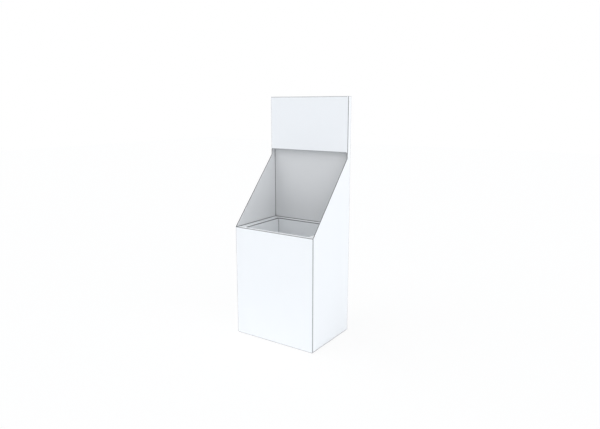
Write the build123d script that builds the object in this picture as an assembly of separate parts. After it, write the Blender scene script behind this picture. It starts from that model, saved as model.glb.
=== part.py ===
from build123d import *
import os

# Floor display stand of white corrugated board: a body, a header card, a dump tray and supports.
# Millimetres. X runs across the front, -Y is the front and +Z is up. The origin is on the floor,
# at the middle of the base.

# Overall plan size, over the outside of the board
width = 550
depth = 400

# Heights of the stages of the side profile, from the floor up
front_height = 667
slope_rise = 406
wing_rise = 34
header_height = 323

# Depth of the narrow wings that run up beside the back panel
wing_depth = 35

# Board
board = 4
tray_board = 3
fold_radius = 0.8
seam_gap = 0.2
slip = 0.5

# Flaps of the body
base_flap_gap = 2
base_flap_relief = 2
glue_flap = 25
glue_flap_lift = 10
glue_flap_taper = 12

# Header card
header_tuck = 60
tab_length = 80
tab_spacing = 300

# Dump tray, with its rim measured in from the outside of the stand
side_rim = 56
front_rim = 34
back_rim = 42
tray_depth = 230
tray_skirt = 60
corner_flap = 30
corner_flap_relief = 1

# Planes and levels that several pieces share
right_face = width / 2
back_face = depth / 2
slope_top = front_height + slope_rise
header_bottom = slope_top + wing_rise
height = header_bottom + header_height
wing_front = back_face - wing_depth
inner_half_width = right_face - board
inner_half_depth = back_face - board
glue_flap_inside = inner_half_width - board
side_flap_level = board + seam_gap
base_top = side_flap_level + board
base_flap_length = back_face - base_flap_gap / 2
front_flap_half = inner_half_width - base_flap_relief
side_flap_half = inner_half_depth - base_flap_relief
tray_floor = front_height - tray_depth
support_top = tray_floor - tray_board
support_offset = width / 4
tab_middles = (-tab_spacing / 2, tab_spacing / 2)


def board_section(points, thickness):
    """Section of a board folded at right angles along a path, which is one of its faces.

    The board lies on the left of the path, and every fold is rounded inside and outside.
    """
    path = [Vector(*point) for point in points]
    headings = [(end - start).normalized() for start, end in zip(path, path[1:])]
    inward = [heading.rotate(Axis.Z, 90) * thickness for heading in headings]
    near_radii = []
    far_face = [path[0] + inward[0]]
    far_radii = []
    for corner, before, after in zip(path[1:], inward, inward[1:]):
        turns_left = before.cross(after).Z > 0
        outside = fold_radius + thickness
        near_radii.append(outside if turns_left else fold_radius)
        far_radii.append(fold_radius if turns_left else outside)
        far_face.append(corner + before + after)
    far_face.append(path[-1] + inward[-1])
    outline = [*path, *reversed(far_face)]
    radii = [0, *near_radii, 0, 0, *reversed(far_radii), 0]
    return make_face(FilletPolyline(*outline, radius=radii, close=True))


def across_x(section, low, high):
    """A section drawn in Y and Z, run from one X to another."""
    return extrude(Plane.YZ.offset(low) * section, high - low)


def along_y(section, low, high):
    """A section drawn in X and Z, run from one Y to another."""
    return extrude(Plane.XZ.offset(-low) * section, low - high)


def up_z(section, low, high):
    """A section drawn in X and Y, run from one level to another."""
    return extrude(Plane.XY.offset(low) * section, high - low)


def block(low, high):
    """A box between two corners."""
    size = [b - a for a, b in zip(low, high)]
    return Pos(*low) * Box(*size, align=(Align.MIN, Align.MIN, Align.MIN))


def body_walls():
    """Front, sides and back in one strip, with the glue flap bonded inside the right side."""
    low = board + fold_radius
    strip = [
        (0, back_face),
        (-right_face, back_face),
        (-right_face, -back_face),
        (right_face, -back_face),
        (right_face, back_face),
    ]
    glued_end = [
        (inner_half_width, back_face - glue_flap),
        (inner_half_width, back_face),
        (0, back_face),
    ]
    walls = up_z(board_section(strip, board), low, height)
    walls += up_z(board_section(glued_end, board), low, height)
    flap_end = base_top + fold_radius + glue_flap_lift
    flap_edge = back_face - glue_flap
    below_flap = Polygon(
        (flap_edge, low),
        (inner_half_depth, low),
        (inner_half_depth, flap_end),
        (flap_edge, flap_end + glue_flap_taper),
        align=None,
    )
    return walls - across_x(below_flap, glue_flap_inside - fold_radius, inner_half_width)


def side_profile():
    """Outline of the sides: low front, slope, wing, and the step that the header sits on."""
    return Polygon(
        (-back_face, 0),
        (back_face, 0),
        (back_face, height),
        (wing_front + board, height),
        (wing_front + board, header_bottom),
        (wing_front, header_bottom),
        (wing_front, slope_top),
        (-back_face, front_height),
        align=None,
    )


def base_flaps():
    """The bottom: flaps from the front and back meet in the middle, under flaps from the sides."""
    leg = base_top + board + fold_radius
    front = [(-back_face, leg), (-back_face, 0), (base_flap_length - back_face, 0)]
    side = [
        (right_face - base_flap_length, side_flap_level),
        (right_face, side_flap_level),
        (right_face, leg),
    ]
    front_flap = across_x(board_section(front, board), -front_flap_half, front_flap_half)
    side_flap = along_y(board_section(side, board), -side_flap_half, side_flap_half)
    return front_flap + mirror(front_flap, Plane.XZ) + side_flap + mirror(side_flap, Plane.YZ)


def body_wrap():
    """The body, cut and folded from one sheet."""
    body = body_walls() & across_x(side_profile(), -right_face, right_face)
    body -= block(
        (-inner_half_width, -back_face, front_height),
        (inner_half_width, -inner_half_depth, slope_top),
    )
    for wall in (-right_face, inner_half_width):
        body -= block((wall, -side_flap_half, 0), (wall + board, side_flap_half, base_top + fold_radius))
    body += base_flaps()
    for middle in tab_middles:
        half = tab_length / 2 + slip
        body -= block(
            (middle - half, inner_half_depth - slip, header_bottom - slip),
            (middle + half, back_face + slip, header_bottom + board + slip),
        )
    return body


def header_card():
    """A shallow box folded from one card: front, top with a tuck flap, bottom with two tabs."""
    left = slip - inner_half_width
    right = glue_flap_inside - slip
    tuck_face = inner_half_depth - slip
    section = [
        (tuck_face, height - header_tuck),
        (tuck_face, height),
        (wing_front, height),
        (wing_front, header_bottom),
        (tuck_face, header_bottom),
    ]
    card = across_x(board_section(section, board), left, right)
    for start, end in ((-right_face, left), (right, right_face)):
        card += block((start, wing_front, header_bottom), (end, wing_front + board, height))
    for middle in tab_middles:
        card += block(
            (middle - tab_length / 2, tuck_face - board, header_bottom),
            (middle + tab_length / 2, back_face, header_bottom + board),
        )
    return card


def dump_tray():
    """A tray folded from one sheet: floor, walls, a flat rim and skirts inside the body."""
    inside_x = right_face - side_rim
    inside_front = front_rim - back_face
    inside_back = back_face - back_rim
    rim_x = inner_half_width - slip
    rim_y = inner_half_depth - slip
    rim_right_back = glue_flap_inside - slip
    skirt_low = front_height - tray_skirt
    front_to_back = [
        (rim_y, skirt_low),
        (rim_y, front_height),
        (inside_back, front_height),
        (inside_back, tray_floor),
        (inside_front, tray_floor),
        (inside_front, front_height),
        (-rim_y, front_height),
        (-rim_y, skirt_low),
    ]
    side_to_side = [
        (rim_x, skirt_low),
        (rim_x, front_height),
        (inside_x, front_height),
        (inside_x, tray_floor),
        (-inside_x, tray_floor),
        (-inside_x, front_height),
        (-rim_x, front_height),
        (-rim_x, skirt_low),
    ]
    long_half = inside_x - fold_radius
    tray = across_x(board_section(front_to_back, tray_board), -long_half, long_half)
    tray += along_y(
        board_section(side_to_side, tray_board),
        inside_front + fold_radius,
        inside_back - fold_radius,
    )
    front_end = [(inside_front, front_height), (-rim_y, front_height), (-rim_y, skirt_low)]
    back_end = [(rim_y, skirt_low), (rim_y, front_height), (inside_back, front_height)]
    for section, right_end in ((front_end, rim_x), (back_end, rim_right_back)):
        rim_end = board_section(section, tray_board)
        tray += across_x(rim_end, long_half, right_end)
        tray += across_x(rim_end, -rim_x, -long_half)
    flap_x = inside_x + tray_board
    front_flaps = [
        (flap_x, inside_front + corner_flap),
        (flap_x, inside_front),
        (-flap_x, inside_front),
        (-flap_x, inside_front + corner_flap),
    ]
    back_flaps = [
        (-flap_x, inside_back - corner_flap),
        (-flap_x, inside_back),
        (flap_x, inside_back),
        (flap_x, inside_back - corner_flap),
    ]
    for path in (front_flaps, back_flaps):
        tray += up_z(
            board_section(path, tray_board),
            tray_floor + fold_radius + corner_flap_relief,
            front_height - tray_board - fold_radius - corner_flap_relief,
        )
    return tray


def support_panel(half_length, slot_middles, slots_at_top):
    """An upright board with half-depth slots, drawn in its own length and height."""
    middle = (base_top + support_top) / 2
    slot_low, slot_high = (middle - slip, support_top) if slots_at_top else (base_top, middle + slip)
    panel = Pos(0, middle) * Rectangle(2 * half_length, support_top - base_top)
    for slot_middle in slot_middles:
        panel -= Pos(slot_middle, (slot_low + slot_high) / 2) * Rectangle(
            board + 2 * slip, slot_high - slot_low
        )
    return panel


def support_long():
    """The support that runs from side to side, slotted from the top."""
    half = inner_half_width - fold_radius - slip
    crossings = (-support_offset, support_offset)
    return along_y(support_panel(half, crossings, True), -board / 2, board / 2)


def support_cross(middle):
    """A support that runs from front to back, slotted from the bottom."""
    panel = support_panel(inner_half_depth - slip, (0,), False)
    return across_x(panel, middle - board / 2, middle + board / 2)


nodes = {
    "body_wrap": body_wrap(),
    "header_card": header_card(),
    "dump_tray": dump_tray(),
    "support_long": support_long(),
    "support_cross_left": support_cross(-support_offset),
    "support_cross_right": support_cross(support_offset),
}

os.makedirs("parts", exist_ok=True)
for name, shape in nodes.items():
    export_step(shape, f"parts/{name}.step")
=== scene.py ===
import math
from collections import namedtuple
from functools import reduce
from itertools import product

import bmesh
import bpy
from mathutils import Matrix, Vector


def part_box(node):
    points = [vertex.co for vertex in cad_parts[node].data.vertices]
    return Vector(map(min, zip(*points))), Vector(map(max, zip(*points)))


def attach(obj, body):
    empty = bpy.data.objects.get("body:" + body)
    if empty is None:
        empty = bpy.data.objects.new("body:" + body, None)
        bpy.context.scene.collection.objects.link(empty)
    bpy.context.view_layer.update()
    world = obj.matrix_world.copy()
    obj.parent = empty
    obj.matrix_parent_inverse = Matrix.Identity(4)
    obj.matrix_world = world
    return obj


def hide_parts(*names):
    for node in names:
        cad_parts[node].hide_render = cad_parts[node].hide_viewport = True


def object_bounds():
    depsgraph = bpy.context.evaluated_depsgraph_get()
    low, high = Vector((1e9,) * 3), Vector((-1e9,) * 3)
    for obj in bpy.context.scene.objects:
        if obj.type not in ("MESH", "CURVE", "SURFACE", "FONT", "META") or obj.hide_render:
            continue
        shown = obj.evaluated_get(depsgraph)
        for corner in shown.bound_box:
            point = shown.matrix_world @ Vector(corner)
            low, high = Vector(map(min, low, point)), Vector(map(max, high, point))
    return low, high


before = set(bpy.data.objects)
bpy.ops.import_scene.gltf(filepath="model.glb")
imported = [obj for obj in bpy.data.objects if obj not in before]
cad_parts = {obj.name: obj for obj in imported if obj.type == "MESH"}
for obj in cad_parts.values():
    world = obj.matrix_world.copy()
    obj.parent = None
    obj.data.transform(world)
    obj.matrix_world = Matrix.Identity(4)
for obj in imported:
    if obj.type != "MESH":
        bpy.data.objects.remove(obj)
CAD_LOW, CAD_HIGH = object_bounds()
PLANE_DIGITS = 5


def plane(value):
    """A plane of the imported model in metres, to a hundredth of a millimetre."""
    return round(value, PLANE_DIGITS)


# Planes of the stand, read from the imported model
HEADER_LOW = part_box("header_card")[0]
TRAY_LOW, TRAY_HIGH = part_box("dump_tray")
SUPPORT_LOW, SUPPORT_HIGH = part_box("support_long")
RIGHT = plane(CAD_HIGH.x)
BACK = plane(CAD_HIGH.y)
TOP = plane(CAD_HIGH.z)
RIM = plane(TRAY_HIGH.z)
HEADER_BOTTOM = plane(HEADER_LOW.z)
WING_FRONT = plane(HEADER_LOW.y)
TRAY_UNDERSIDE = plane(TRAY_LOW.z)
BOARD = plane(SUPPORT_HIGH.y - SUPPORT_LOW.y)

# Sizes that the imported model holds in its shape
WING_RISE = 0.034
TRAY_BOARD = 0.003
FOLD = 0.0008
SLIP = 0.0005
SEAM = 0.0002
BASE_FLAP_GAP = 0.002
BASE_FLAP_RELIEF = 0.002
GLUE_FLAP = 0.025
GLUE_FLAP_LIFT = 0.010
GLUE_FLAP_TAPER = 0.012
HEADER_TUCK = 0.060
TAB_LENGTH = 0.080
TAB_MIDDLES = (-0.150, 0.150)
SIDE_RIM = 0.056
FRONT_RIM = 0.034
BACK_RIM = 0.042
TRAY_SKIRT = 0.060
CORNER_FLAP = 0.030
CORNER_FLAP_RELIEF = 0.001

# Make-up of the corrugated boards. The flutes' crests are bonded to the liners, and a fold
# crushes the flutes by a share of their height.
LINER = 0.00035
MEDIUM = 0.00022
CREST_BOND = 0.00002
FOLD_CRUSH = 0.6
BODY_PITCH = 0.0078
TRAY_PITCH = 0.0064

# Steps of a wave and of a fold, and parts that a wave's step is split into. Stops less than one
# part apart are merged, and the wave's heading is read over one part to each side.
FLUTE_STEPS = 10
FOLD_STEPS = 8
MERGING_PARTS = 20
HEADING_PARTS = 50

# Colours of the papers, and their darker colours: painted shade at creases, with some worn coating
# there, painted shade at the tray's rim level, and wear at cut edges
WHITE = (0.885, 0.902, 0.925)
# The header's white is darker than the body's, as painted shade
SHADED_HEADER_WHITE = (0.845, 0.863, 0.888)
# The tray's white is darker again, as painted shade for the tray inside the stand
SHADED_TRAY_WHITE = (0.755, 0.77, 0.785)
# The reverse liner's grey: a slightly greyer back than the white face, darkened further as painted
# shade for the inside of the stand
SHADED_REVERSE = (0.655, 0.663, 0.673)
RAW = (0.25, 0.25, 0.25)
WORN_AND_SHADED_WHITE = (0.30, 0.31, 0.32)
WORN_AND_SHADED_HEADER = (0.34, 0.35, 0.36)
WORN_AND_SHADED_TRAY = (0.14, 0.145, 0.15)
WORN_AND_SHADED_REVERSE = (0.19, 0.195, 0.20)

# Painted shade at creases, with some worn coating there, and wear at cut edges. Distances from
# creases and cut edges are stored up to a reach. Each band fades between two shares of its width,
# and its outline wanders by a share of the fade.
CREASE_REACH = 0.012
EDGE_REACH = 0.002
# Half width of the painted shade in the joint where the tray's rim meets the wall
RIM_SHADE_HALF = 0.0023
CREASE_FADE = (0.15, 1.85)
EDGE_FADE = (0.4, 1.0)
RIM_SHADE_FADE = (0.3, 1.7)
RAGGEDNESS = 0.4

# Surface of the papers. Noise is given as scale and detail, and relief as height and strength.
CLOUD = (9.0, 4.0)
CLOUD_SHADE = 0.985
FIBRE = (900.0, 3.0)
RAW_FIBRE = (1500.0, 3.0)
RAW_SHADE = 0.8
RAGGED = (350.0, 3.0)
RIPPLE = (0.00005, 0.35)
GRAIN = (0.00002, 0.25)
SMOOTHEST, ROUGHEST = 0.42, 0.58
COATED_SPECULAR = 0.35
RAW_ROUGHNESS = 0.85
RAW_SPECULAR = 0.2

# Studio, with a slightly cool light and its spread in degrees. Rays that show the background see
# the floor as plain white to the share of its glow.
BACKGROUND_RAYS = ("Is Camera Ray", "Is Glossy Ray", "Is Transmission Ray")
PURE_WHITE = (1.0, 1.0, 1.0)
FLOOR_COLOUR = (0.86, 0.87, 0.88)
FLOOR_SIZE = 30
FLOOR_DROP = 0.0003
FLOOR_GLOW = 0.9
LIGHT_COLOUR = (0.985, 1.0, 1.015)
LIGHT_SPREAD = 70
ROOM_LIGHT = 0.47

# Camera, with its angles in degrees, and its lens and sensor in millimetres
CAMERA_PLACE = (1.8045, -2.5947, 1.3819)
CAMERA_TILT = 11.484
CAMERA_TURN = 34.007
CAMERA_LENS = 32.43
CAMERA_SENSOR = 36.0

# Planes of the body. A fold reaches this far from its outside corner.
FOLD_REACH = BOARD + FOLD
SLOPE_TOP = HEADER_BOTTOM - WING_RISE
INNER_X = RIGHT - BOARD
INNER_Y = BACK - BOARD
GLUE_FLAP_INSIDE = INNER_X - BOARD
SIDE_FLAP_LEVEL = BOARD + SEAM
SIDE_LOW = SIDE_FLAP_LEVEL + FOLD_REACH
BASE_FLAP_LENGTH = BACK - BASE_FLAP_GAP / 2
FRONT_FLAP_HALF = INNER_X - BASE_FLAP_RELIEF
SIDE_FLAP_HALF = INNER_Y - BASE_FLAP_RELIEF
TAB_SLOT_HALF = TAB_LENGTH / 2 + SLIP

# Planes of the header
HEADER_LEFT = SLIP - INNER_X
HEADER_RIGHT = GLUE_FLAP_INSIDE - SLIP
TUCK_FACE = INNER_Y - SLIP

# Planes of the tray. Its long strip is the floor with the front and back folded up from it.
TRAY_FOLD_REACH = TRAY_BOARD + FOLD
TRAY_FLOOR = TRAY_UNDERSIDE + TRAY_BOARD
BIN_X = RIGHT - SIDE_RIM
BIN_FRONT = FRONT_RIM - BACK
BIN_BACK = BACK - BACK_RIM
RIM_X = INNER_X - SLIP
RIM_Y = INNER_Y - SLIP
RIM_RIGHT_BACK = GLUE_FLAP_INSIDE - SLIP
SKIRT_LOW = RIM - TRAY_SKIRT
LONG_STRIP_HALF = BIN_X - FOLD

# Sides of a strip of paper, and material slots of its faces
NEAR, FAR = 0, 1
OUTSIDE_FACE, INSIDE_FACE, CUT_FACE = 0, 1, 2

# Digits of a level in metres, and the distance up to which two lengths are the same
LEVEL_DIGITS = 7
SAME_PLACE = 1e-6

# Part of a board's section: a straight run from its start, or a fold round its middle, with a
# radius above zero where the path turns left
Piece = namedtuple("Piece", "begin length place inward radius heading")
# Point of the section's near face, with the direction into the board and how far it is in a fold
Spot = namedtuple("Spot", "point inward fold")
# Place along a strip: its near and far point, its distance across the flutes, unless levels give
# that, and its distances to a fold and to a cut end
Station = namedtuple("Station", "near far run crease edge")
# Levels that a strip fills between two stations, and whether its ends there are cut edges
Span = namedtuple("Span", "low high cut_low cut_high", defaults=(True, True))
# Part of a span, with the distances of its ends to a cut edge
Row = namedtuple("Row", "low high edge_low edge_high open_sides")
# Darkened paper, with painted shade and some worn coating at creases, wear at cut edges, and
# painted shade at a level where the tray's rim meets it: its colour, the half width at a crease,
# the width at an edge, and that shaded level
WearAndShade = namedtuple("WearAndShade", "colour crease_half edge_width rub_level", defaults=(None,))

TABS = [Span(middle - TAB_LENGTH / 2, middle + TAB_LENGTH / 2) for middle in TAB_MIDDLES]


def thinned(values, apart=SAME_PLACE):
    """Values in order, without near repeats."""
    kept = []
    for value in sorted(values):
        if not kept or value - kept[-1] > apart:
            kept.append(value)
    return kept


def rotated(vector, angle):
    """A vector in a section, turned anticlockwise."""
    return Vector(
        (
            vector.x * math.cos(angle) - vector.y * math.sin(angle),
            vector.x * math.sin(angle) + vector.y * math.cos(angle),
        )
    )


def across_x(a, b, run):
    """Place of a point in a section drawn in Y and Z, run along X."""
    return Vector((run, a, b))


def along_y(a, b, run):
    """Place of a point in a section drawn in X and Z, run along Y."""
    return Vector((a, run, b))


def up_z(a, b, run):
    """Place of a point in a section drawn in X and Y, run up Z."""
    return Vector((a, b, run))


def up_z_from_y(a, b, run):
    """Place of a point in a section drawn in Y and X, run up Z."""
    return Vector((b, a, run))


def mirrored(place, x=1, y=1):
    """A way to place points, mirrored where x or y is -1."""

    def mirrored_place(a, b, run):
        point = place(a, b, run)
        return Vector((x * point.x, y * point.y, point.z))

    return mirrored_place


def everywhere(*spans):
    """The same spans at every length."""
    return lambda length: spans


class FoldedPath:
    """One face of a board in section: straight runs and round folds, read by mid-board length.

    The board lies on the left of the path, and every fold is a right angle.
    """

    def __init__(self, points, thickness):
        self.thickness = thickness
        self.pieces = []
        self.folds = []
        self.length = 0.0
        points = [Vector(point) for point in points]
        headings = [(end - start).normalized() for start, end in zip(points, points[1:])]
        turns = [before.cross(after) for before, after in zip(headings, headings[1:])]
        radii = [0.0, *(thickness + FOLD if turn > 0 else FOLD for turn in turns), 0.0]
        for index, heading in enumerate(headings):
            inward = Vector((-heading.y, heading.x))
            start = points[index] + heading * radii[index]
            end = points[index + 1] - heading * radii[index + 1]
            self.add((end - start).length, start, inward, heading=heading)
            if index < len(turns):
                self.add_fold(end, inward, math.copysign(radii[index + 1], turns[index]))

    def add(self, length, place, inward, radius=0.0, heading=None):
        self.pieces.append(Piece(self.length, length, place, inward, radius, heading))
        self.length += length

    def add_fold(self, start, inward, radius):
        """A quarter turn. Its middle is inward of the path for a turn to the left."""
        length = (FOLD + self.thickness / 2) * math.pi / 2
        self.folds.append(self.length + length / 2)
        self.add(length, start + inward * radius, inward, radius)

    def at(self, length):
        """Near face point, inward normal and share of the fold, 1 at its middle."""
        reached = (piece for piece in self.pieces if length <= piece.begin + piece.length)
        piece = next(reached, self.pieces[-1])
        if not piece.radius:
            return Spot(piece.place + piece.heading * (length - piece.begin), piece.inward, 0.0)
        share = (length - piece.begin) / piece.length
        inward = rotated(piece.inward, math.copysign(share * math.pi / 2, piece.radius))
        return Spot(piece.place - inward * piece.radius, inward, math.sin(share * math.pi))

    def crease(self, length):
        """Distance from the nearest fold's middle, no more than the reach of a crease."""
        return min([CREASE_REACH, *(abs(length - fold) for fold in self.folds)])

    def stops(self, cuts):
        """Lengths at which the board's faces need a corner."""
        stops = {0.0, self.length, *cuts}
        for piece in self.pieces:
            steps = FOLD_STEPS if piece.radius else 1
            stops.update(piece.begin + piece.length * step / steps for step in range(steps + 1))
        for fold in self.folds:
            stops.update((fold - CREASE_REACH, fold + CREASE_REACH))
        return thinned(stop for stop in stops if 0.0 <= stop <= self.length)

    def where(self, axis, value):
        """Lengths at which straight runs cross a plane."""
        found = []
        for piece in self.pieces:
            if not piece.radius and piece.heading[axis]:
                offset = (value - piece.place[axis]) / piece.heading[axis]
                if 0 < offset < piece.length:
                    found.append(piece.begin + offset)
        return found


def flat_path(low, high, level, thickness=BOARD):
    """A board with no fold."""
    return FoldedPath([(low, level), (high, level)], thickness)


class Sheets:
    """Collects closed strips of paper and makes one object of them."""

    def __init__(self):
        self.points = []
        self.runs = []
        self.creases = []
        self.faces = []
        self.edges = []
        self.slots = []

    def point(self, place, run, crease):
        self.points.append(place)
        self.runs.append(run)
        self.creases.append(crease)
        return len(self.points) - 1

    def face(self, corners, slot, edges=None):
        """A face, with the distance of each corner to a cut edge."""
        kept = [index for index, corner in enumerate(corners) if corner != corners[index - 1]]
        ring = [corners[index] for index in kept]
        if len(set(ring)) > 2:
            self.faces.append(ring)
            self.edges += [edges[index] if edges else 0.0 for index in kept]
            self.slots.append(slot)

    def piece(self, name, materials, node, slot):
        """The object, in place of a solid."""
        mesh = bpy.data.meshes.new(name)
        mesh.from_pydata(self.points, [], self.faces)
        mesh.polygons.foreach_set("material_index", self.slots)
        for attribute, domain, values in (
            ("run", "POINT", self.runs),
            ("crease", "POINT", self.creases),
            ("edge", "CORNER", self.edges),
        ):
            mesh.attributes.new(attribute, "FLOAT", domain).data.foreach_set("value", values)
        for material in materials:
            mesh.materials.append(material)
        shell = bmesh.new()
        shell.from_mesh(mesh)
        bmesh.ops.recalc_face_normals(shell, faces=shell.faces)
        shell.to_mesh(mesh)
        shell.free()
        obj = bpy.data.objects.new(name, mesh)
        bpy.context.scene.collection.objects.link(obj)
        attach(obj, "root")
        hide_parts(node)


def raised(limit, rise):
    """A limit moved up, whether it is a level or a function that gives one at a point."""
    return (lambda point: limit(point) + rise) if callable(limit) else limit + rise


class Strip:
    """A closed strip of paper between the near and far points of its stations.

    Two stations have a cell between them, which the strip fills over the cell's spans. In a
    banded strip, a face has rows of its own beside its cut edges.
    """

    def __init__(self, sheets, stations, spans, place, slots, banded=False):
        self.sheets = sheets
        self.stations = stations
        self.spans = spans
        self.place = place
        self.slots = slots
        self.banded = banded
        self.corners = {}
        self.rows = [
            [row for span in cell_spans for row in self.split(cell, span)]
            for cell, cell_spans in enumerate(spans)
        ]
        self.levels = self.corner_levels()

    def level(self, limit, index, side=NEAR):
        """Level of a limit at one side of a station."""
        return round(limit(self.stations[index][side]) if callable(limit) else limit, LEVEL_DIGITS)

    def corner(self, index, side, level):
        """Mesh point at a level of one side of a station."""
        key = (index, side, level)
        if key not in self.corners:
            station = self.stations[index]
            run = level if station.run is None else station.run
            place = self.place(*station[side], level)
            self.corners[key] = self.sheets.point(place, run, station.crease)
        return self.corners[key]

    def neighbours(self, cell):
        """Stations of a cell, each with the spans of the cell beyond it."""
        return [
            (index, self.spans[other] if 0 <= other < len(self.spans) else None)
            for index, other in ((cell, cell - 1), (cell + 1, cell + 1))
        ]

    def opened(self, index, others, low, high):
        """Whether the cell beyond a station leaves a row's side open."""
        middle = (self.level(low, index) + self.level(high, index)) / 2
        return others is not None and not any(
            self.level(other.low, index) < middle < self.level(other.high, index)
            for other in others
        )

    def steps(self, cell, low, high):
        """Levels between two limits at which the cells beside a cell begin or end."""
        return {
            self.level(limit, index)
            for index, others in self.neighbours(cell)
            for other in others or []
            for limit in (other.low, other.high)
            if self.level(low, index) < self.level(limit, index) < self.level(high, index)
        }

    def split(self, cell, span):
        """Rows of a span from the bottom up."""
        limits = [
            (limit, 0.0 if cut else EDGE_REACH)
            for limit, cut in ((span.low, span.cut_low), (span.high, span.cut_high))
        ]
        if self.banded:
            low, high = raised(span.low, EDGE_REACH), raised(span.high, -EDGE_REACH)
            between = [low, *sorted(self.steps(cell, low, high)), high]
            limits[1:1] = [(limit, EDGE_REACH) for limit in between]
        rows = []
        for (low, edge_low), (high, edge_high) in zip(limits, limits[1:]):
            open_sides = [self.opened(*beside, low, high) for beside in self.neighbours(cell)]
            rows.append(Row(low, high, edge_low, edge_high, open_sides))
        return rows

    def corner_levels(self):
        """Levels at which rows begin or end, by station and side."""
        levels = {}
        for cell, rows in enumerate(self.rows):
            limits = [limit for row in rows for limit in (row.low, row.high)]
            for at in product((cell, cell + 1), (NEAR, FAR)):
                levels.setdefault(at, set()).update(self.level(limit, *at) for limit in limits)
        return levels

    def row_side(self, row, index, side, is_open):
        """A row's corners at a station, from the bottom up, with their distances to a cut edge."""
        low, high = self.level(row.low, index, side), self.level(row.high, index, side)
        beside = 0.0 if is_open else self.stations[index].edge
        found = []
        for level in sorted(self.levels[index, side]):
            if low <= level <= high:
                share = (level - low) / (high - low) if high > low else 0.0
                edge = row.edge_low + (row.edge_high - row.edge_low) * share
                found.append((index, level, min(edge, beside)))
        return found

    def add_faces(self, cell):
        """Near and far faces of a cell's rows."""
        for row, side in product(self.rows[cell], (NEAR, FAR)):
            first, second = (
                self.row_side(row, index, side, is_open)
                for index, is_open in zip((cell, cell + 1), row.open_sides)
            )
            ring = [*first, *reversed(second)]
            corners = [self.corner(index, side, level) for index, level, _ in ring]
            self.sheets.face(corners, self.slots[side], [edge for _, _, edge in ring])

    def add_ends(self, cell):
        """Faces across the strip at the ends of a cell's spans."""
        around = ((cell, NEAR), (cell, FAR), (cell + 1, FAR), (cell + 1, NEAR))
        for span in self.spans[cell]:
            for limit in (span.low, span.high):
                corners = [self.corner(*at, self.level(limit, *at)) for at in around]
                self.sheets.face(corners, CUT_FACE)

    def row_ends(self, cell, index):
        """Levels on both sides of a station at which a cell's rows begin and end."""
        rows = self.rows[cell] if 0 <= cell < len(self.rows) else []
        return [
            [(self.level(limit, index, NEAR), self.level(limit, index, FAR)) for limit in limits]
            for limits in ((row.low, row.high) for row in rows)
        ]

    def add_riser(self, index):
        """Faces across the strip at a station that is open to one side alone."""
        beside = [self.row_ends(cell, index) for cell in (index - 1, index)]
        limits = sorted({limit for rows in beside for row in rows for limit in row})
        for low, high in zip(limits, limits[1:]):
            middle = (sum(low) + sum(high)) / 2
            before, after = (
                any(sum(bottom) < middle < sum(top) for bottom, top in rows) for rows in beside
            )
            if before != after:
                around = ((NEAR, low), (FAR, low), (FAR, high), (NEAR, high))
                corners = [self.corner(index, side, levels[side]) for side, levels in around]
                self.sheets.face(corners, CUT_FACE)

    def build(self):
        for cell in range(len(self.spans)):
            self.add_faces(cell)
            self.add_ends(cell)
        for index in range(len(self.stations)):
            self.add_riser(index)


def spans_between(stops, spans_at):
    """Spans of each cell, read half way between its stops."""
    return [spans_at((low + high) / 2) for low, high in zip(stops, stops[1:])]


def liner_station(path, length, depths, along, cut_ends):
    """Place along a liner that lies between two depths of its board."""
    point, inward, _ = path.at(length)
    near, far = (point + inward * depth for depth in depths)
    ends = [away for away, cut in zip((length, path.length - length), cut_ends) if cut]
    edge = min([EDGE_REACH, *ends])
    return Station(near, far, length if along else None, path.crease(length), edge)


def liners(sheets, path, spans_at, place, cuts=(), along=True, cut_ends=(True, True)):
    """The two liners of a board. With along, the board's flutes run from level to level."""
    ends = (0.0, path.length, *cuts)
    stops = path.stops([end + reach for end in ends for reach in (-EDGE_REACH, 0.0, EDGE_REACH)])
    spans = spans_between(stops, spans_at)
    for depths, slots in (
        ((0.0, LINER), (OUTSIDE_FACE, CUT_FACE)),
        ((path.thickness - LINER, path.thickness), (CUT_FACE, INSIDE_FACE)),
    ):
        stations = [liner_station(path, stop, depths, along, cut_ends) for stop in stops]
        Strip(sheets, stations, spans, place, slots, banded=True).build()


def flute_station(path, length, pitch):
    """Place along the wavy middle of a board."""
    swing = path.thickness / 2 - LINER - MEDIUM / 2 + CREST_BOND
    nearby = pitch / FLUTE_STEPS / HEADING_PARTS

    def middle(length):
        point, inward, fold = path.at(length)
        wave = swing * math.cos(length * math.tau / pitch) * (1 - FOLD_CRUSH * fold)
        return point + inward * (path.thickness / 2 + wave)

    if length in (0.0, path.length):
        across = path.at(length).inward
    else:
        heading = (middle(length + nearby) - middle(length - nearby)).normalized()
        across = Vector((-heading.y, heading.x))
    offset = across * MEDIUM / 2
    near, far = middle(length) - offset, middle(length) + offset
    return Station(near, far, length, CREASE_REACH, EDGE_REACH)


def flutes(sheets, path, spans_at, place, pitch, cuts=()):
    """The wavy middle of a board, drawn across its flutes and run along them."""
    step = pitch / FLUTE_STEPS
    steps = [step * index for index in range(math.floor(path.length / step) + 1)]
    stops = thinned([0.0, path.length, *cuts, *steps], step / MERGING_PARTS)
    stations = [flute_station(path, stop, pitch) for stop in stops]
    spans = spans_between(stops, spans_at)
    Strip(sheets, stations, spans, place, (CUT_FACE, CUT_FACE)).build()


def make_pieces(name, node, sheet, medium, materials, slot="white_board"):
    """A board's liners and its flutes, as two pieces that stand for one solid."""
    sheet.piece(name + "_board", materials, node, slot)
    medium.piece(name + "_flutes", materials, node, slot)


def slope_at(y):
    """Level of the sides' sloping edge."""
    share = (y + BACK) / (WING_FRONT + BACK)
    return RIM + (SLOPE_TOP - RIM) * share


def slope(point):
    """Level of the sloping edge at a point of a side."""
    return slope_at(point.y)


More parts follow.
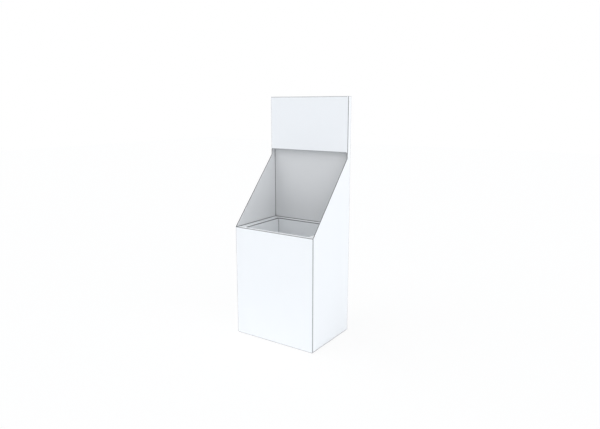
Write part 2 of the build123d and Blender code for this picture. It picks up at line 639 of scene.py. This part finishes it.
def front_fold_top(x):
    """Level of the sloping edge at the fold between the front and a side."""
    middle_x = math.copysign(INNER_X - FOLD, x)
    middle_y = FOLD - INNER_Y

    def top(point):
        away = Vector((point.x - middle_x, point.y - middle_y))
        return slope_at(middle_y + FOLD_REACH * min(away.y / away.length, 0.0))

    return top


def glue_flap_low(point):
    """Level of the glue flap's lower edge, which tapers up away from the back."""
    taper = GLUE_FLAP_TAPER / (GLUE_FLAP - BOARD)
    return SIDE_LOW + GLUE_FLAP_LIFT + taper * (INNER_Y - point.y)


def side_span(y):
    """Levels of a side: up to the slope, the step under the header, or the top."""
    low = SIDE_LOW if abs(y) < SIDE_FLAP_HALF else FOLD_REACH
    if y < WING_FRONT:
        return Span(low, slope, cut_low=False)
    return Span(low, HEADER_BOTTOM if y < WING_FRONT + BOARD else TOP, cut_low=False)


def back_spans(x):
    """Levels of the back, with slots for the header's tabs."""
    if not any(abs(x - middle) < TAB_SLOT_HALF for middle in TAB_MIDDLES):
        return [Span(FOLD_REACH, TOP, cut_low=False)]
    return [
        Span(FOLD_REACH, HEADER_BOTTOM - SLIP, cut_low=False),
        Span(HEADER_BOTTOM + BOARD + SLIP, TOP),
    ]


def wall_spans(path, length):
    """Levels of the body's walls at a length along their strip."""
    point, inward, fold = path.at(length)
    if fold:
        return [Span(FOLD_REACH, front_fold_top(point.x) if point.y < 0 else TOP, cut_low=False)]
    if abs(point.x) > RIGHT - BOARD / 2:
        return [side_span(point.y)]
    if point.y < 0:
        return [Span(FOLD_REACH, RIM, cut_low=False)]
    if inward.x:
        return [Span(glue_flap_low, TOP)]
    return back_spans(point.x)


def add_walls(sheet, medium):
    """Glue flap, back, left side, front and right side, in one strip."""
    path = FoldedPath(
        [
            (INNER_X, BACK - GLUE_FLAP),
            (INNER_X, BACK),
            (-RIGHT, BACK),
            (-RIGHT, -BACK),
            (RIGHT, -BACK),
            (RIGHT, BACK),
        ],
        BOARD,
    )
    cuts = []
    for y in (WING_FRONT, WING_FRONT + BOARD, SIDE_FLAP_HALF, -SIDE_FLAP_HALF):
        cuts += path.where(1, y)
    for middle in TAB_MIDDLES:
        for x in (middle - TAB_SLOT_HALF, middle + TAB_SLOT_HALF):
            cuts += path.where(0, x)

    def spans(length):
        return wall_spans(path, length)

    liners(sheet, path, spans, up_z, cuts)
    flutes(medium, path, spans, up_z, BODY_PITCH, cuts)


def add_base_flap(sheet, medium, wall, level, half, place, flute_place):
    """A bottom flap, folded in from a wall. Its flutes run away from the wall."""
    end = BASE_FLAP_LENGTH - wall
    path = FoldedPath([(-wall, level + FOLD_REACH), (-wall, level), (end, level)], BOARD)
    liners(sheet, path, everywhere(Span(-half, half)), place, along=False, cut_ends=(False, True))
    spans = everywhere(Span(FOLD_REACH - wall, end))
    flutes(medium, flat_path(-half, half, level), spans, flute_place, BODY_PITCH)


def add_base_flaps(sheet, medium):
    """Flaps of the front and back, with those of the sides on top of them."""
    for turn in (1, -1):
        front, front_flutes = mirrored(across_x, y=turn), mirrored(along_y, y=turn)
        add_base_flap(sheet, medium, BACK, 0.0, FRONT_FLAP_HALF, front, front_flutes)
        side, side_flutes = mirrored(along_y, x=turn), mirrored(across_x, x=turn)
        add_base_flap(sheet, medium, RIGHT, SIDE_FLAP_LEVEL, SIDE_FLAP_HALF, side, side_flutes)


def make_body(materials):
    """The body: walls and bottom flaps, cut and folded from one sheet."""
    sheet, medium = Sheets(), Sheets()
    add_walls(sheet, medium)
    add_base_flaps(sheet, medium)
    make_pieces("body", "body_wrap", sheet, medium, materials)


def add_header_card(sheet):
    """Tuck flap, top flange, front panel without its ends, and bottom flange with its tabs."""
    path = FoldedPath(
        [
            (TUCK_FACE, TOP - HEADER_TUCK),
            (TUCK_FACE, TOP),
            (WING_FRONT, TOP),
            (WING_FRONT, HEADER_BOTTOM),
            (BACK, HEADER_BOTTOM),
        ],
        BOARD,
    )
    flange_end = path.length - (BACK - TUCK_FACE)

    def spans(length):
        if length > flange_end:
            return TABS
        _, inward, fold = path.at(length)
        cut = inward.x <= 0 or bool(fold)
        return [Span(HEADER_LEFT, HEADER_RIGHT, cut, cut)]

    liners(sheet, path, spans, across_x, [flange_end], along=False)


def add_header_ends(sheet):
    """The front panel's ends, which lap over the wings."""
    path = FoldedPath([(WING_FRONT, TOP), (WING_FRONT, HEADER_BOTTOM)], BOARD)
    left = Span(-RIGHT, HEADER_LEFT, cut_high=False)
    right = Span(HEADER_RIGHT, RIGHT, cut_low=False)
    liners(sheet, path, everywhere(left, right), across_x, along=False)


def add_header_front_flutes(medium):
    """Upright flutes of the front panel, which reach its raw edges at its ends."""
    folded_low, folded_high = HEADER_LEFT + RIGHT, HEADER_RIGHT + RIGHT

    def spans(length):
        if folded_low < length < folded_high:
            return [Span(HEADER_BOTTOM + FOLD_REACH, TOP - FOLD_REACH)]
        return [Span(HEADER_BOTTOM, TOP)]

    path = flat_path(-RIGHT, RIGHT, WING_FRONT)
    flutes(medium, path, spans, up_z, BODY_PITCH, [folded_low, folded_high])


def add_header_bottom_flutes(medium):
    """Flutes of the bottom flange, which run on into its tabs."""

    def spans(length):
        on_tab = any(tab.low < HEADER_LEFT + length < tab.high for tab in TABS)
        return [Span(WING_FRONT + FOLD_REACH, BACK if on_tab else TUCK_FACE)]

    path = flat_path(HEADER_LEFT, HEADER_RIGHT, HEADER_BOTTOM)
    tab_ends = [end - HEADER_LEFT for tab in TABS for end in (tab.low, tab.high)]
    flutes(medium, path, spans, along_y, BODY_PITCH, tab_ends)


def add_header_top_flutes(medium):
    """Flutes of the top flange and the tuck flap."""
    flange = flat_path(HEADER_LEFT, HEADER_RIGHT, TOP - BOARD)
    flange_spans = everywhere(Span(WING_FRONT + FOLD_REACH, TUCK_FACE - FOLD_REACH))
    flutes(medium, flange, flange_spans, along_y, BODY_PITCH)
    tuck = flat_path(HEADER_LEFT, HEADER_RIGHT, TUCK_FACE - BOARD)
    tuck_spans = everywhere(Span(TOP - HEADER_TUCK, TOP - FOLD_REACH))
    flutes(medium, tuck, tuck_spans, up_z, BODY_PITCH)


def make_header(materials):
    """The header: a card folded into a shallow box, with its raw ends over the wings."""
    sheet, medium = Sheets(), Sheets()
    add_header_card(sheet)
    add_header_ends(sheet)
    add_header_front_flutes(medium)
    add_header_bottom_flutes(medium)
    add_header_top_flutes(medium)
    make_pieces("header", "header_card", sheet, medium, materials)


def on_bin_wall(path, length):
    """Whether a length is on a wall of the bin, and not on a skirt, where the path starts."""
    point, inward, fold = path.at(length)
    skirt = path.at(0.0).point
    return inward.x != 0 and not fold and abs(point.x) < skirt.x - TRAY_BOARD


def add_tray_long_strip(sheet):
    """Skirt, rim and wall of the back, the floor, and wall, rim and skirt of the front."""
    path = FoldedPath(
        [
            (RIM_Y, SKIRT_LOW),
            (RIM_Y, RIM),
            (BIN_BACK, RIM),
            (BIN_BACK, TRAY_FLOOR),
            (BIN_FRONT, TRAY_FLOOR),
            (BIN_FRONT, RIM),
            (-RIM_Y, RIM),
            (-RIM_Y, SKIRT_LOW),
        ],
        TRAY_BOARD,
    )

    def spans(length):
        cut = on_bin_wall(path, length)
        return [Span(-LONG_STRIP_HALF, LONG_STRIP_HALF, cut, cut)]

    liners(sheet, path, spans, across_x, along=False)


def add_tray_rim_ends(sheet, points, right_end, cut_ends):
    """Rim and skirt of the front or back, on both sides of the long strip."""
    path = FoldedPath(points, TRAY_BOARD)
    left = Span(-RIM_X, -LONG_STRIP_HALF, cut_high=False)
    right = Span(LONG_STRIP_HALF, right_end, cut_low=False)
    liners(sheet, path, everywhere(left, right), across_x, along=False, cut_ends=cut_ends)


def add_tray_sides(sheet, medium):
    """Skirt, rim and wall of each side, down to the fold at the floor."""
    path = FoldedPath(
        [
            (RIM_X, SKIRT_LOW),
            (RIM_X, RIM),
            (BIN_X, RIM),
            (BIN_X, TRAY_FLOOR),
            (LONG_STRIP_HALF, TRAY_FLOOR),
        ],
        TRAY_BOARD,
    )

    def spans(length):
        cut = on_bin_wall(path, length)
        return [Span(BIN_FRONT + FOLD, BIN_BACK - FOLD, cut, cut)]

    for turn in (1, -1):
        place = mirrored(along_y, x=turn)
        liners(sheet, path, spans, place, cut_ends=(True, False))
        flutes(medium, path, spans, place, TRAY_PITCH)


def add_tray_corner_flaps(sheet, medium):
    """Flaps of the front and back walls, glued to the outside of the side walls."""
    low = TRAY_FLOOR + FOLD + CORNER_FLAP_RELIEF
    high = RIM - TRAY_FOLD_REACH - CORNER_FLAP_RELIEF
    spans = everywhere(Span(low, high))
    flap_x = BIN_X + TRAY_BOARD
    for turn, wall in ((1, BIN_FRONT), (-1, -BIN_BACK)):
        points = [(flap_x, wall + CORNER_FLAP), (flap_x, wall), (LONG_STRIP_HALF, wall)]
        path = FoldedPath(points, TRAY_BOARD)
        for side in (1, -1):
            place = mirrored(up_z, x=side, y=turn)
            liners(sheet, path, spans, place, cut_ends=(True, False))
            flutes(medium, path, spans, place, TRAY_PITCH)


def add_tray_floor_flutes(medium):
    path = flat_path(-LONG_STRIP_HALF, LONG_STRIP_HALF, TRAY_UNDERSIDE, TRAY_BOARD)
    spans = everywhere(Span(BIN_FRONT + FOLD, BIN_BACK - FOLD))
    flutes(medium, path, spans, along_y, TRAY_PITCH)


def add_tray_end_flutes(medium, sign, wall, right_end):
    """Flutes of the wall, rim and skirt at the back, or with a sign of -1 at the front."""
    wall_path = flat_path(-LONG_STRIP_HALF, LONG_STRIP_HALF, wall, TRAY_BOARD)
    wall_levels = everywhere(Span(TRAY_FLOOR + FOLD, RIM - TRAY_FOLD_REACH))
    flutes(medium, wall_path, wall_levels, mirrored(up_z, y=sign), TRAY_PITCH)
    folded_low, folded_high = RIM_X - LONG_STRIP_HALF, RIM_X + LONG_STRIP_HALF

    def rim_spans(length):
        inner = wall + TRAY_FOLD_REACH if folded_low < length < folded_high else wall
        return [Span(inner, RIM_Y - TRAY_FOLD_REACH)]

    rim_path = flat_path(-RIM_X, right_end, RIM - TRAY_BOARD, TRAY_BOARD)
    rim_place = mirrored(along_y, y=sign)
    flutes(medium, rim_path, rim_spans, rim_place, TRAY_PITCH, [folded_low, folded_high])
    skirt_path = flat_path(-RIM_X, right_end, -RIM_Y, TRAY_BOARD)
    skirt_levels = everywhere(Span(SKIRT_LOW, RIM - TRAY_FOLD_REACH))
    flutes(medium, skirt_path, skirt_levels, mirrored(up_z, y=-sign), TRAY_PITCH)


def make_tray(materials):
    """The bin: floor, walls, rim and skirts folded from one sheet, with glued corner flaps."""
    sheet, medium = Sheets(), Sheets()
    front = [(BIN_FRONT, RIM), (-RIM_Y, RIM), (-RIM_Y, SKIRT_LOW)]
    back = [(RIM_Y, SKIRT_LOW), (RIM_Y, RIM), (BIN_BACK, RIM)]
    add_tray_long_strip(sheet)
    add_tray_rim_ends(sheet, front, RIM_X, cut_ends=(False, True))
    add_tray_rim_ends(sheet, back, RIM_RIGHT_BACK, cut_ends=(True, False))
    add_tray_sides(sheet, medium)
    add_tray_corner_flaps(sheet, medium)
    add_tray_floor_flutes(medium)
    add_tray_end_flutes(medium, -1, -BIN_FRONT, RIM_X)
    add_tray_end_flutes(medium, 1, BIN_BACK, RIM_RIGHT_BACK)
    make_pieces("tray", "dump_tray", sheet, medium, materials)


def make_support(node, axis, slots, slots_at_top, materials):
    """An upright board with half-depth slots, its length along X or, where axis is 1, Y."""
    sheet, medium = Sheets(), Sheets()
    low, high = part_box(node)
    start = low[axis]
    middle = (low.z + high.z) / 2
    half_slot = BOARD / 2 + SLIP

    def spans(length):
        if not any(abs(start + length - slot) < half_slot for slot in slots):
            return [Span(low.z, high.z)]
        return [Span(low.z, middle - SLIP) if slots_at_top else Span(middle + SLIP, high.z)]

    path = flat_path(start, high[axis], low[1 - axis])
    place = up_z_from_y if axis else up_z
    cuts = [slot + end - start for slot in slots for end in (-half_slot, half_slot)]
    liners(sheet, path, spans, place, cuts)
    flutes(medium, path, spans, place, BODY_PITCH, cuts)
    make_pieces(node, node, sheet, medium, materials, "support_board")


def opaque(colour, shade=1.0):
    """A socket's colour, with a share of its brightness."""
    return (*[channel * shade for channel in colour], 1.0)


class Graph:
    """Shader nodes of a material or a world."""

    def __init__(self, owner):
        owner.use_nodes = True
        self.nodes = owner.node_tree.nodes
        self.links = owner.node_tree.links

    def connect(self, node, inputs):
        """Sets a node's inputs to values, or links them to outputs of other nodes."""
        for name, value in inputs.items():
            if isinstance(value, bpy.types.NodeSocket):
                self.links.new(value, node.inputs[name])
            else:
                node.inputs[name].default_value = value

    def add(self, kind, output=0, inputs=None, **settings):
        """An output of a new node."""
        node = self.nodes.new("ShaderNode" + kind)
        for name, value in settings.items():
            setattr(node, name, value)
        self.connect(node, inputs or {})
        return node.outputs[output]

    def math(self, operation, *values):
        return self.add("Math", inputs=dict(enumerate(values)), operation=operation)

    def mix(self, share, first, second):
        """A colour between two colours."""
        inputs = {"Factor": share, "A": first, "B": second}
        return self.add("Mix", "Result", inputs, data_type="RGBA")

    def noise(self, scale, detail):
        """Noise that is fixed to the object."""
        place = self.add("TexCoord", "Object")
        return self.add("TexNoise", "Fac", {"Vector": place, "Scale": scale, "Detail": detail})

    def stored(self, attribute):
        """A distance that the mesh holds."""
        return self.add("Attribute", "Fac", attribute_name=attribute)

    def distance_from_level(self, level):
        place = self.add("TexCoord", "Object")
        height = self.add("SeparateXYZ", "Z", {"Vector": place})
        return self.math("ABSOLUTE", self.math("SUBTRACT", height, level))

    def relief(self, height, distance, strength, **inputs):
        """A normal that follows a height, on top of the one given as Normal."""
        inputs |= {"Height": height, "Distance": distance, "Strength": strength}
        return self.add("Bump", "Normal", inputs)


def wear_and_shade_band(graph, ragged, distance, width, fade):
    """Darkening by distance, from 1 down to 0, with a ragged outline."""
    full, none = (width * share for share in fade)
    wander = (none - full) * RAGGEDNESS
    inputs = {
        "Value": graph.math("MULTIPLY_ADD", ragged, wander, distance),
        "From Min": full + wander / 2,
        "From Max": none + wander / 2,
        "To Min": 1.0,
        "To Max": 0.0,
    }
    return graph.add("MapRange", "Result", inputs, interpolation_type="SMOOTHSTEP")


def wear_and_shade_mask(graph, shade_and_wear):
    """Painted shade and some worn coating at creases, wear beside cut edges, painted shade at the
    rim.
    """
    ragged = graph.noise(*RAGGED)
    bands = [
        wear_and_shade_band(graph, ragged, graph.stored("crease"), shade_and_wear.crease_half, CREASE_FADE),
        wear_and_shade_band(graph, ragged, graph.stored("edge"), shade_and_wear.edge_width, EDGE_FADE),
    ]
    # Painted shade in the joint where the tray's rim meets the body's wall
    if shade_and_wear.rub_level:
        distance = graph.distance_from_level(shade_and_wear.rub_level)
        bands.append(wear_and_shade_band(graph, ragged, distance, RIM_SHADE_HALF, RIM_SHADE_FADE))
    return reduce(lambda mask, band: graph.math("MAXIMUM", mask, band), bands)


def board_material(name, colour, shade_and_wear, pitch):
    """White clay-coated paper, with a trace of the flutes under it."""
    material = bpy.data.materials.new(name)
    graph = Graph(material)
    cloud = graph.noise(*CLOUD)
    sheen = {"Value": cloud, "To Min": SMOOTHEST, "To Max": ROUGHEST}
    tone = graph.mix(cloud, opaque(colour, CLOUD_SHADE), opaque(colour))
    wave = graph.math("SINE", graph.math("MULTIPLY", graph.stored("run"), math.tau / pitch))
    surface = {
        # The colour darkens towards the worn and shaded one: painted shade at creases and the rim,
        # wear at cut edges
        "Base Color": graph.mix(wear_and_shade_mask(graph, shade_and_wear), tone, opaque(shade_and_wear.colour)),
        "Roughness": graph.add("MapRange", "Result", sheen),
        "Specular IOR Level": COATED_SPECULAR,
        "Normal": graph.relief(graph.noise(*FIBRE), *GRAIN, Normal=graph.relief(wave, *RIPPLE)),
    }
    graph.connect(graph.nodes["Principled BSDF"], surface)
    return material


def paper_material(name, colour):
    """Uncoated paper, as it shows on cut edges and flutes."""
    material = bpy.data.materials.new(name)
    graph = Graph(material)
    fibre = graph.noise(*RAW_FIBRE)
    surface = {
        "Base Color": graph.mix(fibre, opaque(colour, RAW_SHADE), opaque(colour)),
        "Roughness": RAW_ROUGHNESS,
        "Specular IOR Level": RAW_SPECULAR,
    }
    graph.connect(graph.nodes["Principled BSDF"], surface)
    return material


def background_ray(graph):
    """1 for a ray that shows the background: to the camera, mirrored or let through."""
    kinds = [graph.add("LightPath", kind) for kind in BACKGROUND_RAYS]
    return reduce(lambda shown, kind: graph.math("MAXIMUM", shown, kind), kinds)


def make_floor():
    """A plain pale floor that keeps a faint shadow."""
    bpy.ops.mesh.primitive_plane_add(size=FLOOR_SIZE, location=(0, 0, -FLOOR_DROP))
    floor = bpy.context.object
    floor.name = "floor"
    material = bpy.data.materials.new("floor_white")
    graph = Graph(material)
    graph.nodes.remove(graph.nodes["Principled BSDF"])
    pale = graph.add("BsdfDiffuse", inputs={"Color": opaque(FLOOR_COLOUR)})
    white = graph.add("Emission", inputs={"Color": opaque(PURE_WHITE), "Strength": 1.0})
    glow = graph.math("MULTIPLY", background_ray(graph), FLOOR_GLOW)
    mixed = graph.add("MixShader", inputs={"Fac": glow, 1: pale, 2: white})
    graph.connect(graph.nodes["Material Output"], {"Surface": mixed})
    floor.data.materials.append(material)


def make_world():
    """Even studio light from all round, and white behind the stand."""
    world = bpy.data.worlds.new("studio")
    bpy.context.scene.world = world
    graph = Graph(world)
    light = graph.nodes["Background"]
    graph.connect(light, {"Color": opaque(LIGHT_COLOUR), "Strength": ROOM_LIGHT})
    white = graph.add("Background", inputs={"Color": opaque(PURE_WHITE), "Strength": 1.0})
    inputs = {"Fac": background_ray(graph), 1: light.outputs[0], 2: white}
    mixed = graph.add("MixShader", inputs=inputs)
    graph.connect(graph.nodes["World Output"], {"Surface": mixed})


def make_soft_light(name, azimuth, elevation, strength):
    """A broad soft light. Azimuth 0 is in front of the stand and 90 on its right."""
    light = bpy.data.objects.new(name, bpy.data.lights.new(name, "SUN"))
    bpy.context.scene.collection.objects.link(light)
    light.data.energy = strength
    light.data.angle = math.radians(LIGHT_SPREAD)
    light.data.color = LIGHT_COLOUR
    turn, rise = math.radians(azimuth), math.radians(elevation)
    level = math.cos(rise)
    away = Vector((math.sin(turn) * level, -math.cos(turn) * level, math.sin(rise)))
    light.rotation_mode = "QUATERNION"
    light.rotation_quaternion = away.to_track_quat("Z", "Y")


def make_camera():
    """The photograph's view: from the front right, a little above the header's bottom edge."""
    camera = bpy.data.objects.new("camera", bpy.data.cameras.new("camera"))
    bpy.context.scene.collection.objects.link(camera)
    camera.data.lens = CAMERA_LENS
    camera.data.sensor_width = CAMERA_SENSOR
    camera.location = CAMERA_PLACE
    camera.rotation_euler = (math.radians(90 - CAMERA_TILT), 0.0, math.radians(CAMERA_TURN))
    bpy.context.scene.camera = camera


raw = paper_material("raw_paper", RAW)
# Darkening of each paper: painted shade with some worn coating at creases, wear at cut edges, and
# on the body's reverse painted shade at the tray's rim level
reverse_darkening = WearAndShade(WORN_AND_SHADED_REVERSE, crease_half=0.0038, edge_width=0.0020, rub_level=RIM)
# The reverse liner's grey is partly painted shade for the inside of the stand
reverse = board_material("reverse_liner", SHADED_REVERSE, reverse_darkening, BODY_PITCH)
body_darkening = WearAndShade(WORN_AND_SHADED_WHITE, crease_half=0.0017, edge_width=0.0020)
body_white = board_material("body_white", WHITE, body_darkening, BODY_PITCH)
header_darkening = WearAndShade(WORN_AND_SHADED_HEADER, crease_half=0.0018, edge_width=0.0020)
# The header's darker white is painted shade
header_shaded_white = board_material("header_shaded_white", SHADED_HEADER_WHITE, header_darkening, BODY_PITCH)
tray_darkening = WearAndShade(WORN_AND_SHADED_TRAY, crease_half=0.0028, edge_width=0.0020)
# The tray's darker white is painted shade for the inside of the stand
tray_shaded_white = board_material("tray_shaded_white", SHADED_TRAY_WHITE, tray_darkening, TRAY_PITCH)
tray_reverse_darkening = WearAndShade(WORN_AND_SHADED_REVERSE, crease_half=0.0030, edge_width=0.0012)
tray_reverse = board_material("tray_reverse", SHADED_REVERSE, tray_reverse_darkening, TRAY_PITCH)

make_body([body_white, reverse, raw])
make_header([header_shaded_white, reverse, raw])
make_tray([tray_shaded_white, tray_reverse, raw])
crossings = [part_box(f"support_cross_{side}")[0].x + BOARD / 2 for side in ("left", "right")]
support_papers = [reverse, reverse, raw]
make_support("support_long", 0, crossings, slots_at_top=True, materials=support_papers)
for cross_support in ("support_cross_left", "support_cross_right"):
    make_support(cross_support, 1, [0.0], slots_at_top=False, materials=support_papers)
make_floor()
make_world()
make_soft_light("right_light", azimuth=70, elevation=20, strength=1.66)
make_soft_light("left_light", azimuth=-60, elevation=50, strength=1.76)
make_camera()
bpy.context.scene.view_settings.view_transform = "Standard"
